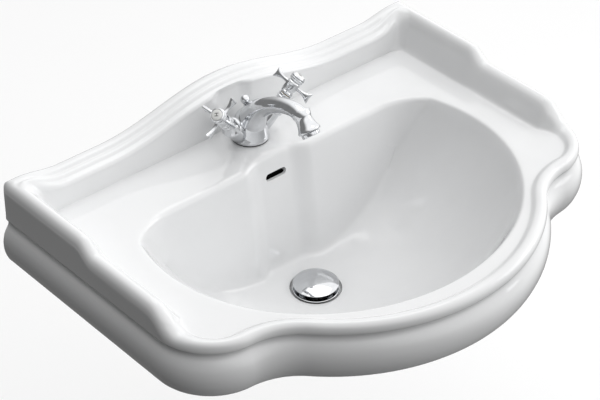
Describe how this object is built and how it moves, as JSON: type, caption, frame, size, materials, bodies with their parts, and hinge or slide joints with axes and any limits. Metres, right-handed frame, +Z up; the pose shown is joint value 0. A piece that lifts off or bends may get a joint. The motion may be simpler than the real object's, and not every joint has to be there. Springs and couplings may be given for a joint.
{
  "type": "wall-mounted washbasin",
  "caption": "Traditional bow-fronted white china washbasin with moulded rim and upstands, one-hole cross-handle mixer and pop-up waste.",
  "frame": {"origin": "on the wall face, on the basin's centre line, level with its deck", "axes": "+Z up, +Y into the wall, -Y out to the front of the basin, hot at -X and cold at +X"},
  "size_m": [0.73, 0.542, 0.4284],
  "materials": {
    "china": "gloss",
    "porcelain": "gloss",
    "chrome": "polished",
    "brass": "satin",
    "steel": "satin",
    "copper": "satin",
    "rubber": "matte",
    "nylon": "satin",
    "alumina": "satin"
  },
  "bodies": {
    "root": {"basin": "china", "tap_body": "chrome", "spout_nozzle": "chrome", "aerator_housing": "chrome", "waste_body": "chrome", "tailpiece": "chrome", "pivot_nut": "chrome", "aerator_washer": "rubber", "base_seal": "rubber", "rubber_clamp_washer": "rubber", "flange_seal": "rubber", "under_seal": "rubber", "pivot_seal": "rubber", "aerator_insert": "nylon", "left_bolt_sleeve": "nylon", "right_bolt_sleeve": "nylon", "steel_clamp_washer": "steel", "left_wall_bolt": "steel", "right_wall_bolt": "steel", "left_bolt_washer": "steel", "right_bolt_washer": "steel", "left_bolt_nut": "steel", "right_bolt_nut": "steel", "mounting_stud": "brass", "stud_nut": "brass", "backnut": "brass", "hot_tail": "copper", "hot_tail_nut": "brass", "hot_headwork": "brass", "hot_seat_seal": "rubber", "hot_fixed_disc": "alumina", "hot_bonnet": "chrome", "cold_tail": "copper", "cold_tail_nut": "brass", "cold_headwork": "brass", "cold_seat_seal": "rubber", "cold_fixed_disc": "alumina", "cold_bonnet": "chrome"},
    "hot_valve": {"hot_handle": "chrome", "hot_index_cap": "porcelain", "hot_handle_screw": "steel", "hot_spindle": "brass", "hot_moving_disc": "alumina"},
    "cold_valve": {"cold_handle": "chrome", "cold_index_cap": "porcelain", "cold_handle_screw": "steel", "cold_spindle": "brass", "cold_moving_disc": "alumina"},
    "lift": {"lift_rod": "chrome", "lift_knob": "chrome", "lift_strap": "steel", "strap_clamp": "brass", "clamp_screw": "brass"},
    "lever": {"pivot_lever": "chrome"},
    "plug": {"plug": "chrome", "plug_seal": "rubber"}
  },
  "joints": [
    {"name": "hot_turn", "type": "hinge", "parent": "root", "child": "hot_valve", "pos_m": [-0.0209, -0.0809, 0.0179], "axis": [-0.6229, -0.1987, 0.7566], "range_deg": [0, 90]},
    {"name": "cold_turn", "type": "hinge", "parent": "root", "child": "cold_valve", "pos_m": [0.0209, -0.0809, 0.0179], "axis": [0.6229, -0.1987, 0.7566], "range_deg": [-90, 0]},
    {"name": "lift_slide", "type": "slide", "parent": "root", "child": "lift", "axis": [0, 0, 1], "range_m": [0, 0.03]},
    {"name": "lever_tilt", "type": "hinge", "parent": "root", "child": "lever", "pos_m": [0, -0.193, -0.241], "axis": [1, 0, 0], "range_deg": [0, 14.98]},
    {"name": "plug_slide", "type": "slide", "parent": "root", "child": "plug", "axis": [0, 0, 1], "range_m": [-0.00636, 0]}
  ],
  "couplings": [
    {"joint": "lever_tilt", "follows": "lift_slide", "rad_per_m": 8.6881},
    {"joint": "plug_slide", "follows": "lift_slide", "ratio": -0.20851}
  ]
}
